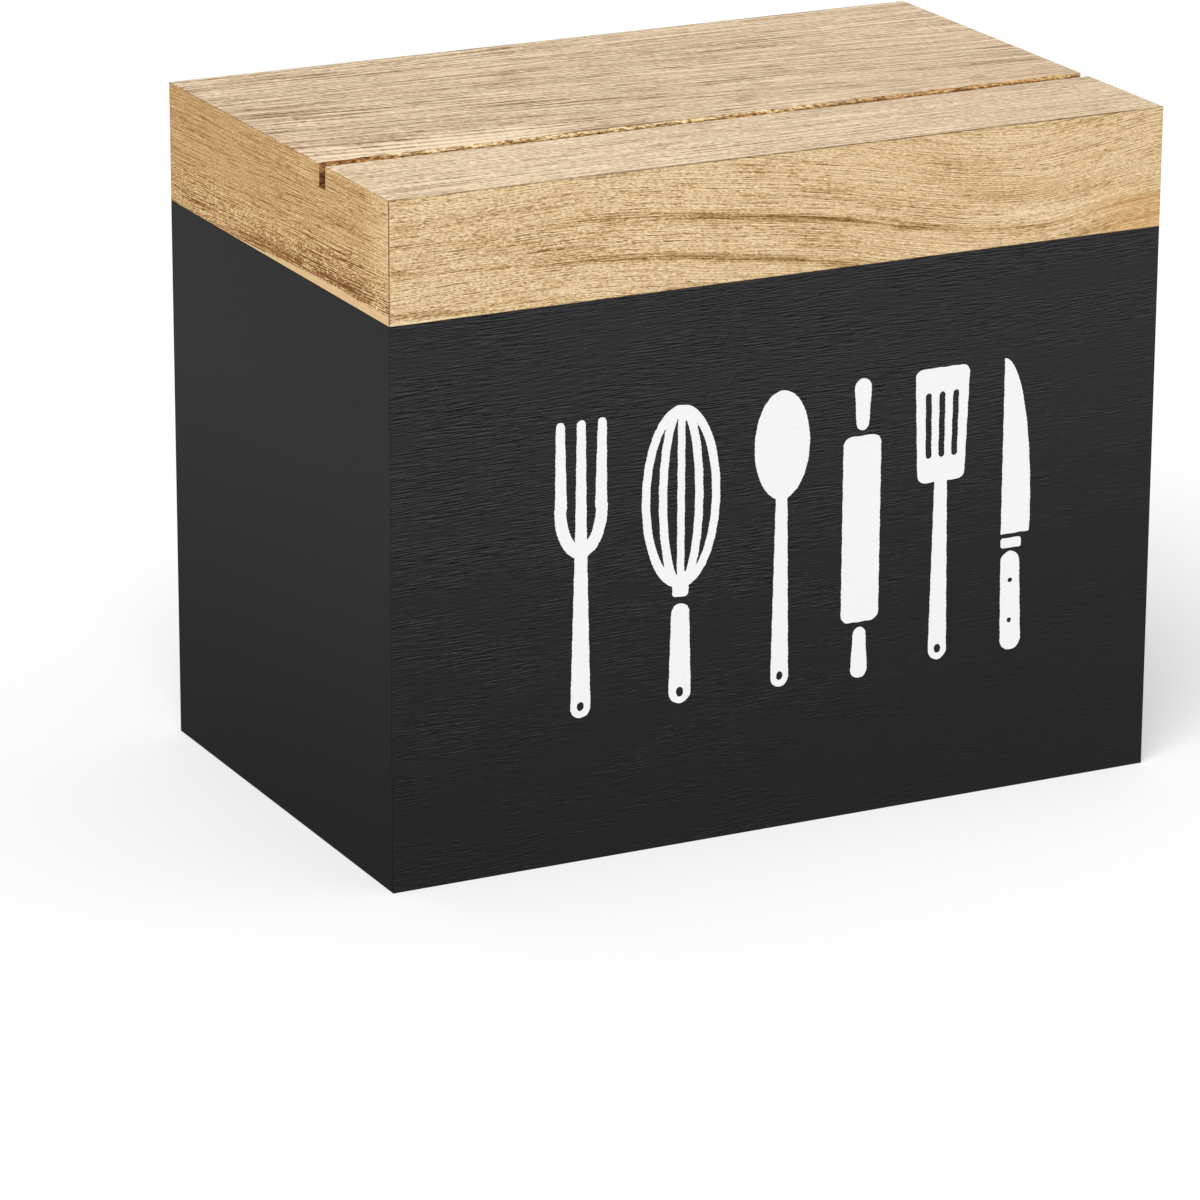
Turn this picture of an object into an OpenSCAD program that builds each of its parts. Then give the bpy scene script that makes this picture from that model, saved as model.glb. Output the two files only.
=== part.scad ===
// Recipe card box: a painted wooden case with a thick natural wood lid.
// The lid is a hollow frame of mitred boards, with a sawn groove along its top
// that holds a card upright. Two butt hinges with built-in stops carry it, and
// two pairs of disc magnets keep it shut.
// Millimetres, +Z up. The origin is the centre of the case's footprint, on the
// surface that it stands on. The front faces -Y.

/* [Case] */
// Width of the box, left to right
box_w = 180; // [172:1:240]
// Depth of the box without its hinges, front to back
box_d = 111; // [95:1:170]
// Height of the case, up to the seam with the lid
case_h = 121; // [112:1:180]
// Thickness of the case's four walls
case_wall = 9; // [8:0.5:14]
// Thickness of the bottom board
bottom_t = 5; // [3:0.5:9]
// How far the bottom board is let into the walls
rabbet_w = 4.5; // [2:0.5:6]

/* [Lid] */
// Height of the lid, from the seam to its top
lid_h = 26; // [24:0.5:45]
// Thickness of the lid's four rails
lid_wall = 9; // [8:0.5:14]
// Thickness of the lid's top board
lid_top_t = 9; // [8:0.5:12]

/* [Card groove] */
// Width of the groove that holds a card
groove_w = 3.2; // [2:0.1:5]
// Depth of the groove
groove_depth = 4.6; // [3:0.1:6]
// Distance from the front face to the middle of the groove
groove_from_front = 32; // [16:1:44]

/* [Hinges] */
// Length of each hinge, along its pin
hinge_len = 28; // [22:1:38]
// Distance from the side of the case to the near end of a hinge
hinge_inset = 22; // [12:1:40]
// How far a hinge leaf reaches in from the back face
leaf_w = 7; // [5.5:0.5:7.5]
// Thickness of a hinge leaf
leaf_t = 0.9; // [0.7:0.1:1.2]
// Outer radius of the knuckles
knuckle_r = 1.75; // [1.6:0.05:2.5]
// Number of knuckles along a hinge, an odd number
knuckle_count = 5; // [3:2:7]
// Radius of the hinge pin
pin_r = 0.8; // [0.6:0.05:1]
// Radius of the pin's peened heads
pin_head_r = 1.2; // [1.1:0.05:1.4]
// Thickness of the pin's peened heads
pin_head_t = 0.5; // [0.3:0.1:0.8]
// Angle at which the lid meets the stops
open_angle = 105; // [90:1:120]
// How far the stop heels reach from the pin's axis
heel_reach = 3.2; // [2.8:0.1:4]
// Thickness of the stop heels
heel_t = 0.9; // [0.6:0.1:1.2]

/* [Screws] */
// Number of screws in each leaf
screw_count = 2; // [2:1:3]
// Distance between the outer two screws of a leaf
screw_span = 18; // [12:1:18]
// Distance from the back face to the screws
screw_from_back = 3.8; // [2.6:0.1:4]
// Radius of a screw's shank
screw_r = 0.9; // [0.7:0.1:1]
// Radius of a screw's countersunk head
screw_head_r = 1.55; // [1.3:0.05:1.6]
// Length of a screw
screw_len = 9; // [7:0.5:12]
// Width of the cross in a screw's head
cross_w = 0.35; // [0.25:0.05:0.5]
// Depth of the cross in a screw's head
cross_depth = 0.4; // [0.2:0.1:0.5]

/* [Magnets] */
// Radius of a disc magnet
magnet_r = 3; // [2:0.5:3]
// Thickness of a disc magnet
magnet_t = 3; // [2:0.5:5]
// Distance from the side of the box to a magnet's centre
magnet_inset = 24; // [14:1:60]

/* [Clearances] */
// Play around the bottom board in its rabbet
bottom_gap = 0.1; // [0:0.05:0.3]
// Space between a hinge leaf's face and the seam
leaf_gap = 0.1; // [0.05:0.05:0.2]
// Play around a hinge leaf in its mortise
mortise_gap = 0.15; // [0.05:0.05:0.3]
// Play between the knuckles, and round them
knuckle_gap = 0.15; // [0.1:0.05:0.3]
// Play round the hinge pin
pin_gap = 0.05; // [0.02:0.01:0.08]
// Play round the screws
screw_gap = 0.05; // [0.02:0.01:0.1]
// Play round the magnets
magnet_gap = 0.1; // [0.05:0.05:0.3]
// How far a magnet's face lies below the wood
magnet_recess = 0.1; // [0.05:0.05:0.3]
// Angle between the stop heels when the lid is fully open
stop_gap = 0.5; // [0.2:0.1:1]

/* [Hidden] */

// Facets of the round pieces
$fn = 48;
// A little more than nothing, so that a cut runs past the face it opens
past = 0.5;

front_y = -box_d / 2;
back_y = box_d / 2;
seam_z = case_h;
top_z = case_h + lid_h;
groove_y = front_y + groove_from_front;

// The pin's axis stands behind the back face, so that the knuckles just clear
// the floor of the mortises that the leaves lie in.
mortise_depth = leaf_gap + leaf_t;
barrel_out = sqrt(pow(knuckle_r + knuckle_gap, 2) - pow(mortise_depth, 2));
barrel_y = back_y + barrel_out;
hinge_x = box_w / 2 - hinge_inset - hinge_len / 2;
knuckle_pitch = hinge_len / knuckle_count;
heel_angle = (open_angle + stop_gap) / 2;
screw_pitch = screw_span / (screw_count - 1);
screw_y = -(barrel_out + screw_from_back);
screw_head_h = screw_head_r - screw_r;
screw_point = 2 * screw_r;

magnet_x = box_w / 2 - magnet_inset;
magnet_y = front_y + min(case_wall, lid_wall) / 2;

CASE_BLACK = [0.15, 0.15, 0.155];
TOP_WOOD = [0.86, 0.77, 0.64];
RAIL_WOOD = [0.80, 0.66, 0.46];
BRASS = [0.72, 0.57, 0.31];
STEEL = [0.62, 0.60, 0.56];
NICKEL = [0.75, 0.75, 0.76];

// Boards

// Turns a board that is drawn at the front to face another side.
module facing(side) {
    turn = side == "front" ? 0 : side == "right" ? 90 : side == "back" ? 180 : -90;
    rotate([0, 0, turn]) children();
}

// Plan of a board with mitred ends, drawn at the front: its outer length, and
// the distance between its outer face and the one opposite.
module mitred_plan(length, across, thick) {
    polygon([
        [-length / 2, -across / 2],
        [length / 2, -across / 2],
        [length / 2 - thick, -across / 2 + thick],
        [-length / 2 + thick, -across / 2 + thick]
    ]);
}

// Outer length of the board on a side, and the distance to the one opposite.
function board_length(side) = side == "front" || side == "back" ? box_w : box_d;
function board_across(side) = side == "front" || side == "back" ? box_d : box_w;

// Lays a section, drawn with Y to the right and Z up, along X.
module along_x(length) {
    rotate([90, 0, 90]) linear_extrude(length, center = true) children();
}

// Lays a section, drawn with X to the right and Z up, along Y.
module along_y(length) {
    rotate([90, 0, 0]) linear_extrude(length, center = true) children();
}

// The space that the bottom board sits in, less a gap all round.
module bottom_space(gap) {
    w = box_w - 2 * (case_wall - rabbet_w) - 2 * gap;
    d = box_d - 2 * (case_wall - rabbet_w) - 2 * gap;
    translate([-w / 2, -d / 2, 0]) cube([w, d, bottom_t]);
}

module case_board(side) {
    facing(side)
        linear_extrude(case_h)
            mitred_plan(board_length(side), board_across(side), case_wall);
}

// A case wall, rabbeted inside its lower edge for the bottom board.
module rabbeted_board(side) {
    difference() {
        case_board(side);
        translate([0, 0, -past]) bottom_space(0);
        bottom_space(0);
    }
}

// A lid rail: mitred at both ends, and along its top to meet the top board.
module lid_rail(side) {
    across = board_across(side);
    facing(side)
        intersection() {
            translate([0, 0, seam_z])
                linear_extrude(lid_h)
                    mitred_plan(board_length(side), across, lid_wall);
            translate([0, 0, seam_z])
                along_x(board_length(side))
                    polygon([
                        [-across / 2, 0],
                        [-across / 2 + lid_wall, 0],
                        [-across / 2 + lid_wall, lid_h - lid_top_t],
                        [-across / 2, lid_h]
                    ]);
        }
}

// Section of the top board, as wide as the box above and bevelled below.
module bevelled_section(across) {
    polygon([
        [-across / 2, top_z],
        [across / 2, top_z],
        [across / 2 - lid_wall, top_z - lid_top_t],
        [-across / 2 + lid_wall, top_z - lid_top_t]
    ]);
}

// The groove that holds a card, sawn along the whole width of the lid.
module groove_cut() {
    translate([-box_w / 2 - past, groove_y - groove_w / 2, top_z - groove_depth])
        cube([box_w + 2 * past, groove_w, groove_depth + past]);
}

// Hinges, drawn about the middle of the pin with the leaves pointing to -Y

// Puts a piece at the left or the right hinge, or at both.
module at_hinge(side) {
    for (turn = side == "both" ? [0, 1] : side == "left" ? [1] : [0])
        mirror([turn, 0, 0]) translate([hinge_x, barrel_y, seam_z]) children();
}

// Turns a piece that is drawn for the case's leaf to suit the lid's leaf.
module for_lid() {
    mirror([0, 0, 1]) children();
}

// A round bar along the pin, from one place on it to another.
module bar(radius, from, to) {
    translate([from, 0, 0]) rotate([0, 90, 0]) cylinder(r = radius, h = to - from);
}

function knuckle_start(i) = -hinge_len / 2 + i * knuckle_pitch + (i == 0 ? 0 : knuckle_gap / 2);
function knuckle_end(i) =
    -hinge_len / 2 + (i + 1) * knuckle_pitch - (i == knuckle_count - 1 ? 0 : knuckle_gap / 2);

// Places of the screws along a leaf.
module at_screws() {
    for (i = [0:screw_count - 1])
        translate([-screw_span / 2 + i * screw_pitch, screw_y, -leaf_gap]) children();
}

// A countersunk screw pointing down, with its flat head at the origin.
module screw_body(gap, length) {
    rotate([180, 0, 0]) {
        cylinder(r1 = screw_head_r + gap, r2 = screw_r + gap, h = screw_head_h);
        cylinder(r = screw_r + gap, h = length - screw_point);
        translate([0, 0, length - screw_point])
            cylinder(r1 = screw_r + gap, r2 = screw_r / 3, h = screw_point);
    }
}

// The cross that a driver turns.
module cross_cut() {
    arm = 1.4 * screw_head_r;
    for (turn = [0, 90])
        rotate([0, 0, turn])
            translate([-arm / 2, -cross_w / 2, -cross_depth])
                cube([arm, cross_w, cross_depth + past]);
}

module screws() {
    at_screws()
        difference() {
            screw_body(0, screw_len);
            cross_cut();
        }
}

// Holes for the screws, a little longer than they are.
module screw_holes() {
    at_screws() screw_body(screw_gap, screw_len + past);
}

// A leaf of the case's half: a plate, every second knuckle and the stop heel.
module leaf(first) {
    last = knuckle_count - 1;
    own = [for (i = [first:2:last]) i];
    other = [for (i = [1 - first:2:last]) i];
    heel_start = knuckle_start(own[0]);
    heel_end = knuckle_end(own[len(own) - 1]);
    difference() {
        union() {
            translate([-hinge_len / 2, -(barrel_out + leaf_w), -mortise_depth])
                cube([hinge_len, barrel_out + leaf_w, leaf_t]);
            rotate([-heel_angle, 0, 0])
                translate([heel_start, 0, -heel_t])
                    cube([heel_end - heel_start, heel_reach, heel_t]);
            for (i = own) bar(knuckle_r, knuckle_start(i), knuckle_end(i));
        }
        for (i = other)
            bar(
                knuckle_r + knuckle_gap,
                i == 0 ? -hinge_len / 2 - past : knuckle_start(i) - knuckle_gap,
                i == last ? hinge_len / 2 + past : knuckle_end(i) + knuckle_gap
            );
        bar(pin_r + pin_gap, -hinge_len / 2 - past, hinge_len / 2 + past);
        screw_holes();
    }
}

// What a leaf needs cut out of the wood: its mortise and the screws' holes.
module leaf_seat() {
    depth = barrel_out + leaf_w + mortise_gap;
    translate([-hinge_len / 2 - mortise_gap, -depth, -mortise_depth])
        cube([hinge_len + 2 * mortise_gap, depth + past, mortise_depth + past]);
    screw_holes();
}

// Magnets, drawn for the case with their faces near the seam

module at_magnet(side) {
    for (way = side == "both" ? [-1, 1] : side == "left" ? [-1] : [1])
        translate([way * magnet_x, magnet_y, seam_z]) children();
}

module magnet_disc() {
    translate([0, 0, -magnet_recess - magnet_t]) cylinder(r = magnet_r, h = magnet_t);
}

module magnet_pocket() {
    depth = magnet_recess + magnet_t;
    translate([0, 0, -depth]) cylinder(r = magnet_r + magnet_gap, h = depth + past);
}

// Case

module case_front() {
    color(CASE_BLACK)
        difference() {
            rabbeted_board("front");
            at_magnet("both") magnet_pocket();
        }
}

module case_back() {
    color(CASE_BLACK)
        difference() {
            rabbeted_board("back");
            at_hinge("both") leaf_seat();
        }
}

module case_left() {
    color(CASE_BLACK) rabbeted_board("left");
}

module case_right() {
    color(CASE_BLACK) rabbeted_board("right");
}

module case_bottom() {
    color(CASE_BLACK) bottom_space(bottom_gap);
}

// Lid

module lid_top() {
    color(TOP_WOOD)
        difference() {
            intersection() {
                along_x(box_w) bevelled_section(box_d);
                along_y(box_d) bevelled_section(box_w);
            }
            groove_cut();
        }
}

module lid_front() {
    color(RAIL_WOOD)
        difference() {
            lid_rail("front");
            at_magnet("both") for_lid() magnet_pocket();
        }
}

module lid_back() {
    color(RAIL_WOOD)
        difference() {
            lid_rail("back");
            at_hinge("both") for_lid() leaf_seat();
        }
}

module lid_left() {
    color(RAIL_WOOD)
        difference() {
            lid_rail("left");
            groove_cut();
        }
}

module lid_right() {
    color(RAIL_WOOD)
        difference() {
            lid_rail("right");
            groove_cut();
        }
}

// Hinges

module hinge_case_leaf(side) {
    color(BRASS) at_hinge(side) leaf(0);
}

module hinge_lid_leaf(side) {
    color(BRASS) at_hinge(side) for_lid() leaf(1);
}

module hinge_pin(side) {
    end = hinge_len / 2;
    color(STEEL)
        at_hinge(side) {
            bar(pin_r, -end - pin_head_t, end + pin_head_t);
            bar(pin_head_r, -end - pin_head_t, -end);
            bar(pin_head_r, end, end + pin_head_t);
        }
}

module hinge_case_screws(side) {
    color(BRASS) at_hinge(side) screws();
}

module hinge_lid_screws(side) {
    color(BRASS) at_hinge(side) for_lid() screws();
}

// Magnets

module case_magnet(side) {
    color(NICKEL) at_magnet(side) magnet_disc();
}

module lid_magnet(side) {
    color(NICKEL) at_magnet(side) for_lid() magnet_disc();
}

case_front();
case_back();
case_left();
case_right();
case_bottom();
lid_top();
lid_front();
lid_back();
lid_left();
lid_right();
hinge_case_leaf("left");  // left_hinge_case_leaf
hinge_lid_leaf("left");  // left_hinge_lid_leaf
hinge_pin("left");  // left_hinge_pin
hinge_case_screws("left");  // left_hinge_case_screws
hinge_lid_screws("left");  // left_hinge_lid_screws
hinge_case_leaf("right");  // right_hinge_case_leaf
hinge_lid_leaf("right");  // right_hinge_lid_leaf
hinge_pin("right");  // right_hinge_pin
hinge_case_screws("right");  // right_hinge_case_screws
hinge_lid_screws("right");  // right_hinge_lid_screws
case_magnet("left");  // left_case_magnet
case_magnet("right");  // right_case_magnet
lid_magnet("left");  // left_lid_magnet
lid_magnet("right");  // right_lid_magnet
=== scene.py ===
import math

import bmesh
import bpy
import numpy as np
from mathutils import Matrix, Vector, noise


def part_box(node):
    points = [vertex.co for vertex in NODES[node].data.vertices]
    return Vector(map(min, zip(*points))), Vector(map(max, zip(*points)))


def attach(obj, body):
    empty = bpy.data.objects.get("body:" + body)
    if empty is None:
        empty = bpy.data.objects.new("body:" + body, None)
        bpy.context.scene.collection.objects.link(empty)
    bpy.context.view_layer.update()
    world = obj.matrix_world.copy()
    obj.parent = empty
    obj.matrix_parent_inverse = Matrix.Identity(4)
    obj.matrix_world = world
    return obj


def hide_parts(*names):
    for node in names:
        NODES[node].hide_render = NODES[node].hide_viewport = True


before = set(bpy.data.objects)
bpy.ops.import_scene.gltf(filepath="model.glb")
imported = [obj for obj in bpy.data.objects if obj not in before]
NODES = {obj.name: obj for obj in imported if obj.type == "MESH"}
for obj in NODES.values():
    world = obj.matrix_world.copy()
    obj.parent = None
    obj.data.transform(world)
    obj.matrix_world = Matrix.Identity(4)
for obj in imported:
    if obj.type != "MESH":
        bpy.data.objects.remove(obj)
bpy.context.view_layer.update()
MM = 0.001

# Places that the CAD parts in model.glb give, in metres
CASE_LOW, CASE_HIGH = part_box("case_front")
RIGHT = CASE_HIGH.x
FRONT = CASE_LOW.y
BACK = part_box("case_back")[1].y
SEAM = CASE_HIGH.z
TOP_LOW, TOP_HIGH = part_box("lid_top")
TOP = TOP_HIGH.z
THICKNESS = TOP - TOP_LOW.z

# The groove along the lid, as the CAD model has it, in metres
GROOVE_WIDTH = 3.2 * MM
GROOVE_DEPTH = 4.6 * MM
GROOVE_Y = FRONT + 32 * MM

# How far the arrises of the CAD boards and of the torn top are eased, in metres
EASED = 0.18 * MM
BLUNT = 0.15 * MM

# An edge that turns by more than this is an arris, in degrees
SHARP = 60

# Points closer than this are joined, in the CAD boards and in the new pieces, in metres
CAD_GAP = 0.001 * MM
NEW_GAP = 0.002 * MM

# The torn groove's mesh: rows down each wall, metres from section to section, and when two are one
WALL_ROWS = 12
GROOVE_STEP = 0.3 * MM
SAME_PLACE = 1e-9

# How far the stencil's paint stands on the case's front, in metres
PAINT_THICKNESS = 0.05 * MM

# Light: the sky's level, the floor's colour, what lifts it to white where it is seen, and its half width
SKY_LEVEL = 0.65
FLOOR_ALBEDO = 0.73
FLOOR_LIFT = 0.26
FLOOR_HALF = 8.0

# The two lamps: the direction they shine from, their strength, and their width in degrees
KEY_LAMP = ((-0.5, -0.55, 1.0), 2.07, 40)
FILL_LAMP = ((0.9, -0.6, 0.5), 0.14, 60)

# The photograph's view: angles in degrees, lengths in metres
AZIMUTH = -26.86
ELEVATION = 18.38
ROLL = 0.26
DISTANCE = 1.3217
LENS_MM = 183.7
SENSOR_MM = 36
VIEW_SHIFT_RIGHT = -0.01305
VIEW_SHIFT_UP = -0.03751


class Graph:
    """The shader nodes of one material. A value is a number, a colour or a socket."""

    def __init__(self, name):
        self.material = bpy.data.materials.new(name)
        self.material.use_nodes = True
        self.tree = self.material.node_tree
        self.tree.nodes.clear()

    def plug(self, socket, value):
        """Links a socket to another, or sets its value."""
        if isinstance(value, bpy.types.NodeSocket):
            self.tree.links.new(value, socket)
        elif isinstance(value, (tuple, list)) and socket.type == "RGBA":
            socket.default_value = (*value, 1)
        else:
            socket.default_value = value

    def add(self, kind, inputs=(), out=0, **settings):
        """Adds a node, fills its inputs by name or number, and returns an output."""
        node = self.tree.nodes.new("ShaderNode" + kind)
        for name, value in settings.items():
            setattr(node, name, value)
        for name, value in dict(inputs).items():
            self.plug(node.inputs[name], value)
        return node.outputs[out]

    def math(self, operation, a, b=0.0):
        return self.add("Math", {0: a, 1: b}, operation=operation)

    def plus(self, *values):
        total = values[0]
        for value in values[1:]:
            total = self.math("ADD", total, value)
        return total

    def times(self, *values):
        total = values[0]
        for value in values[1:]:
            total = self.math("MULTIPLY", total, value)
        return total

    def minus(self, a, b):
        return self.math("SUBTRACT", a, b)

    def step(self, value, low, high, start=0.0, end=1.0):
        """A smooth change from start to end while value goes from low to high."""
        inputs = {"Value": value, "From Min": low, "From Max": high, "To Min": start, "To Max": end}
        return self.add("MapRange", inputs, interpolation_type="SMOOTHSTEP")

    def ramp(self, value, low, high, start=0.0, end=1.0):
        """A straight change from start to end while value goes from low to high."""
        inputs = {"Value": value, "From Min": low, "From Max": high, "To Min": start, "To Max": end}
        return self.add("MapRange", inputs)

    def hill(self, value, centre, width):
        """1 at the centre, falling smoothly to 0 at width away on both sides."""
        return self.step(self.math("ABSOLUTE", self.minus(value, centre)), 0, width, 1, 0)

    def vector(self, x, y, z):
        return self.add("CombineXYZ", {"X": x, "Y": y, "Z": z})

    def noise(self, x, y, z, detail=2, rough=0.5):
        """Noise from 0 to 1, in which each coordinate is counted in cells."""
        inputs = {"Vector": self.vector(x, y, z), "Scale": 1, "Detail": detail, "Roughness": rough}
        return self.add("TexNoise", inputs)

    def mix(self, factor, a, b):
        """Mixes two colours. These are the inputs and the output that a colour mix has."""
        return self.add("Mix", {0: factor, 6: a, 7: b}, out=2, data_type="RGBA")

    def colours(self, value, stops):
        """A colour that follows value through (place, colour) stops."""
        node = self.tree.nodes.new("ShaderNodeValToRGB")
        elements = node.color_ramp.elements
        while len(elements) < len(stops):
            elements.new(0.5)
        for element, (place, colour) in zip(elements, stops):
            element.position = place
            element.color = (*colour, 1)
        self.plug(node.inputs["Fac"], value)
        return node.outputs["Color"]

    def place(self):
        """Where a point of the model is at rest, in millimetres: x, y and z."""
        coordinates = self.add("TexCoord", out=3)
        split = self.tree.nodes.new("ShaderNodeSeparateXYZ")
        self.plug(split.inputs[0], coordinates)
        return [self.times(split.outputs[i], 1 / MM) for i in range(3)]

    def bump(self, height, depth_mm):
        """A normal for a surface whose height goes from 0 to 1 over depth_mm."""
        return self.add("Bump", {"Height": height, "Distance": depth_mm * MM, "Strength": 1})

    def finish(self, **inputs):
        """Ends the material with a principled shader and returns the material."""
        names = {name.replace("_", " "): value for name, value in inputs.items()}
        surface = self.add("BsdfPrincipled", names)
        output = self.tree.nodes.new("ShaderNodeOutputMaterial")
        self.plug(output.inputs["Surface"], surface)
        return self.material


# In the materials, lengths are in millimetres on the board. A tone goes from 0, pale, to 1, dark.
# On the front rail u runs from its left end and v up from the seam.

# Where the strip in front of the groove passes into the rest of the top, in y
STRIP_END = (-27, -21)

# Colours of the groove's walls, by how torn they are: raw wood, the scorched end, in painted shade, and in
# darker painted shade deep down
TORN_STOPS = [
    (0.39, (0.34, 0.15, 0.035)),
    (0.44, (0.62, 0.37, 0.13)),
    (0.48, (0.88, 0.64, 0.34)),
    (0.59, (0.98, 0.83, 0.56)),
]
SCORCHED_STOPS = [(0.36, (0.08, 0.026, 0.007)), (0.58, (0.50, 0.22, 0.065))]
SHADED_STOPS = [(0.4, (0.13, 0.05, 0.01)), (0.5, (0.36, 0.17, 0.045)), (0.6, (0.72, 0.45, 0.18))]
DEEP_SHADE_STOPS = [(0.4, (0.05, 0.018, 0.008)), (0.6, (0.21, 0.09, 0.038))]
RUSTY = (0.66, 0.34, 0.10)

# Other colours in the wood: the seam of two boards, also used for painted shade at the lid's foot, sapwood,
# and the front rail's orange end
SEAM_BROWN = (0.115, 0.05, 0.016)
SAPWOOD = (0.88, 0.60, 0.31)
FLUSH = (0.72, 0.38, 0.13)

# The paint on the case's walls, in the order of black_paint's arguments from relief on.
# Their level and their darkening towards the foot are set wall by wall, as painted light and shade.
CASE_PAINT = {
    "front": (0.85, 0.505, 0.18, 121, 0.11),
    "back": (0.85, 0.505, 0.08, 121, 0.11),
    "left": (0.06, 0.46, 0.36, 95, 0.03),
    "right": (0.3, 0.49, 0.08, 121, 0.08),
}
BOTTOM_PAINT = (0.5, 0.42, 0.1, 121, 0.1)

# The black paint by tone, and the white paint by its pores
BLACK_STOPS = [(0, (0.002, 0.002, 0.0021)), (0.5, (0.018, 0.018, 0.0183)), (1, (0.05, 0.05, 0.0507))]
WHITE_STOPS = [(0.3, (0.98, 0.98, 0.975)), (0.75, (0.94, 0.94, 0.935))]


def board_axes(g, side):
    """A point's place on a board: along the grain, across it, and below its outer face, in mm."""
    x, y, z = g.place()
    if side == "top":
        return x, y, g.minus(TOP / MM, z)
    if side == "front":
        return x, z, g.minus(y, FRONT / MM)
    if side == "back":
        return x, z, g.minus(BACK / MM, y)
    return y, z, g.minus(RIGHT / MM, g.math("ABSOLUTE", x))


def top_figure(g, along, across):
    """The top board's grain: straight in front, slanting to the front further back."""
    back = g.minus(BACK / MM, across)
    slant = g.times(g.step(back, 8, 40), g.step(back, 62, 80, 1, 0))
    return g.plus(across, g.times(along, slant, 0.085))


def front_course(g, along, across):
    """How far above the front rail's main line a point lies. The line falls, dips and rises."""
    u = g.plus(along, RIGHT / MM)
    v = g.minus(across, SEAM / MM)
    fall = g.step(u, 60, 150, 0, -12.5)
    rise = g.step(u, 148, 184, 0, 3.8)
    dip = g.times(g.hill(u, 75, 35), -1.4)
    return g.minus(v, g.plus(16, fall, rise, dip))


def side_figure(g, along, across):
    """A side rail's grain: nearly straight, rising a little towards the front."""
    return g.plus(across, g.times(along, 0.03))


def plain_figure(g, along, across):
    """Straight grain, for the rails that the photograph doesn't show."""
    return across


def swing(g, noise, gain):
    """Noise moved to lie evenly about 0."""
    return g.times(g.minus(noise, 0.5), gain)


def dashes(g, along, ring, length, pitch, seed, low, high, density=0.0):
    """1 inside dark dashes along the grain, 0 between them."""
    marks = g.noise(g.times(along, 1 / length), g.times(ring, 1 / pitch), seed, detail=1, rough=0.4)
    return g.step(g.plus(marks, density), low, high)


def pairs(g, along, row, length, seed):
    """Thin dark lines along the grain, each with a pale line beside it, about 0, broken into strokes."""
    stretch = g.times(along, 1 / length)
    here = g.noise(stretch, row, seed, detail=1)
    beside = g.noise(stretch, g.plus(row, 0.45), seed, detail=1)
    broken = g.noise(g.times(stretch, 3), g.times(row, 0.8), seed + 5, detail=2)
    return g.times(g.minus(here, beside), g.step(broken, 0.35, 0.65, 0.3, 1.7))


def flecks(g, along, row, length, seed):
    """Short dark flecks and as many pale ones, sharply edged, about 0."""
    stretch = g.times(along, 0.85 / length)
    across = g.times(row, 0.9)
    oblique = g.plus(g.times(stretch, 0.55), g.times(across, 0.45))
    dark = g.step(g.noise(stretch, across, g.plus(oblique, seed), detail=1), 0.53, 0.62)
    pale = g.step(g.noise(stretch, across, g.plus(oblique, seed + 7), detail=1), 0.53, 0.62)
    return g.minus(dark, pale)


def front_lines(g, along, ring, tone):
    """The front rail's brown growth lines, each strongest over its own stretch."""
    u = g.plus(along, RIGHT / MM)
    wobble = swing(g, g.noise(g.times(along, 0.12), g.times(ring, 0.4), 91, detail=2), 1.2)
    spread = g.plus(
        g.step(u, 5, 45, 1.05, 1.32),
        g.times(g.hill(u, 106, 30), 0.2),
        g.step(u, 118, 140, 0, -0.6),
    )
    figure = g.math("DIVIDE", g.plus(ring, wobble), spread)
    upper = g.plus(
        0.1,
        g.step(u, 28, 50, 0, 0.15),
        g.step(u, 55, 75, 0, 0.25),
        g.step(u, 118, 130, 0, -0.25),
    )
    lower = g.plus(0.16, g.step(u, 30, 60, 0, 0.34), g.step(u, 98, 112, 0, -0.3))
    smoky = g.times(g.hill(u, 140, 34), 0.13)
    strands = g.step(g.noise(g.times(along, 0.06), g.times(ring, 2.4), 17, detail=2), 0.35, 0.6, 0.55, 1.2)
    pale = g.times(g.hill(u, 150, 32), -0.16)
    courses = ((0, 1.0, upper), (-6.1, 0.9, lower), (10, 6.5, smoky), (4.5, 3.5, pale))
    for centre, width, strength in courses:
        patchy = g.step(g.noise(g.times(along, 0.07), centre, 9, detail=2), 0.3, 0.5, 0.6, 1)
        tone = g.plus(tone, g.times(g.hill(figure, centre, width), patchy, strands, strength))
    return tone


def strip_height(g, from_front):
    """How high the sapwood strip reaches up the left rail."""
    return g.plus(g.step(from_front, 25, 88, 1.9, 0.05), g.step(from_front, 0, 9, 0.35, 0))


def left_marks(g, along, across, tone):
    """The left rail's brown band, and its paler front end."""
    from_front = g.minus(along, FRONT / MM)
    height = g.minus(across, SEAM / MM)
    smudge = g.noise(g.times(along, 0.09), g.times(across, 0.8), 57, detail=3, rough=0.6)
    above = g.minus(height, strip_height(g, from_front))
    band = g.times(g.hill(above, 1.2, 2.6), g.step(from_front, 50, 84, 1, 0))
    tone = g.plus(tone, g.times(band, g.step(smudge, 0.34, 0.56), 0.46))
    cuts = dashes(g, along, across, 5, 0.5, 58, 0.5, 0.6)
    low = g.times(g.step(above, 4, 11, 1, 0), g.step(from_front, 58, 80, 1, 0))
    tone = g.plus(tone, g.times(cuts, low, 0.2))
    return g.plus(tone, g.step(from_front, 4, 14, -0.18, 0), g.ramp(from_front, 20, 111, 0, 0.05))


def sapwood(g, along, across, base):
    """The pale strip under the left rail's brown band, widest at the front corner."""
    from_front = g.minus(along, FRONT / MM)
    height = g.minus(across, SEAM / MM)
    wobble = swing(g, g.noise(g.times(along, 0.2), g.times(across, 0.5), 31, detail=2), 0.8)
    edge = g.plus(strip_height(g, from_front), wobble)
    pale = g.step(g.minus(edge, height), -0.15, 0.2)
    return g.mix(g.times(pale, 0.85), base, SAPWOOD)


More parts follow.
